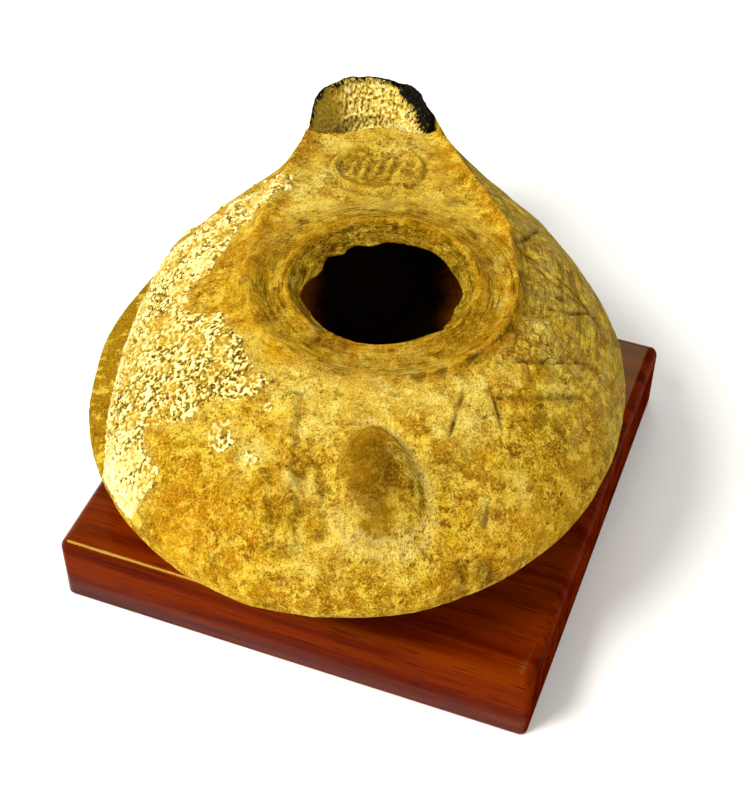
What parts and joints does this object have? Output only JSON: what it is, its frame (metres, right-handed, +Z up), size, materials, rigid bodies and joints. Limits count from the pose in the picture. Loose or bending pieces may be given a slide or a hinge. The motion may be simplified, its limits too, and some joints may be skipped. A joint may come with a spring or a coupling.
{
  "type": "slipper oil lamp",
  "caption": "Mould-made clay oil lamp: hollow pear-shaped body, ringed filling hole, channel to an open wick hole and a knob handle, resting on a square wooden display base.",
  "frame": {"origin": "centre of the wooden base's underside", "axes": "+Z up, +Y towards the lamp's nozzle, -Y towards the knob handle; the square base stands askew, turned 20.2 degrees clockwise seen from above"},
  "size_m": [0.097, 0.1126, 0.0451],
  "materials": {
    "fired_clay": "matt ochre clay with pale crust, dark burning at the wick hole and worn relief",
    "lacquered_wood": "glossy red-brown lacquer over straight grain"
  },
  "bodies": {
    "root": {"lamp_body": "fired_clay", "wooden_base": "lacquered_wood"}
  },
  "joints": []
}
